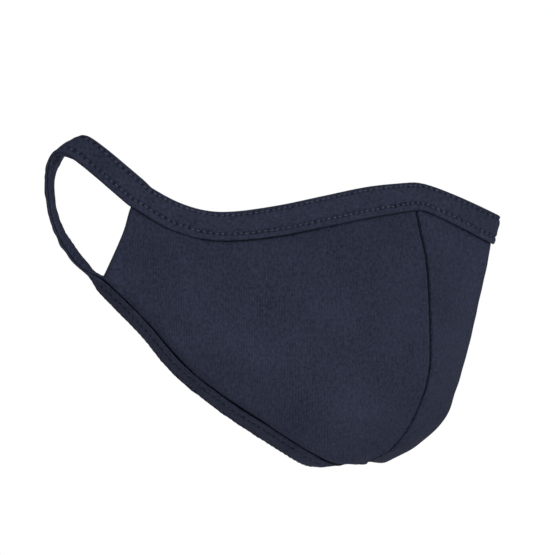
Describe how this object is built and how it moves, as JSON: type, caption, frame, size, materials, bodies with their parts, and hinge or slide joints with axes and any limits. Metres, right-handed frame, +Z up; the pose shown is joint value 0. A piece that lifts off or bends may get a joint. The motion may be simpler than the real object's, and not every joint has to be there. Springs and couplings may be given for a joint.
{
  "type": "cloth face mask",
  "caption": "Washable jersey face mask in its worn form: a centre panel and two cheek panels in a stitched binding that runs on as ear loops.",
  "frame": {"origin": "the bridge of the nose: on the inner face of the top binding, at its middle and half way up it", "axes": "+X to the wearer's left, +Y from the nose back to the ears, +Z up"},
  "size_m": [0.1468, 0.1728, 0.1262],
  "materials": {
    "jersey": "matt navy cotton jersey, fine knit",
    "binding": "matt navy jersey strip, folded and stitched in two rows"
  },
  "bodies": {
    "root": {"centre_panel": "jersey", "side_panel_right": "jersey", "side_panel_left": "jersey", "top_band": "binding", "bottom_band": "binding", "ear_loop_right": "binding", "ear_loop_left": "binding"}
  },
  "joints": []
}
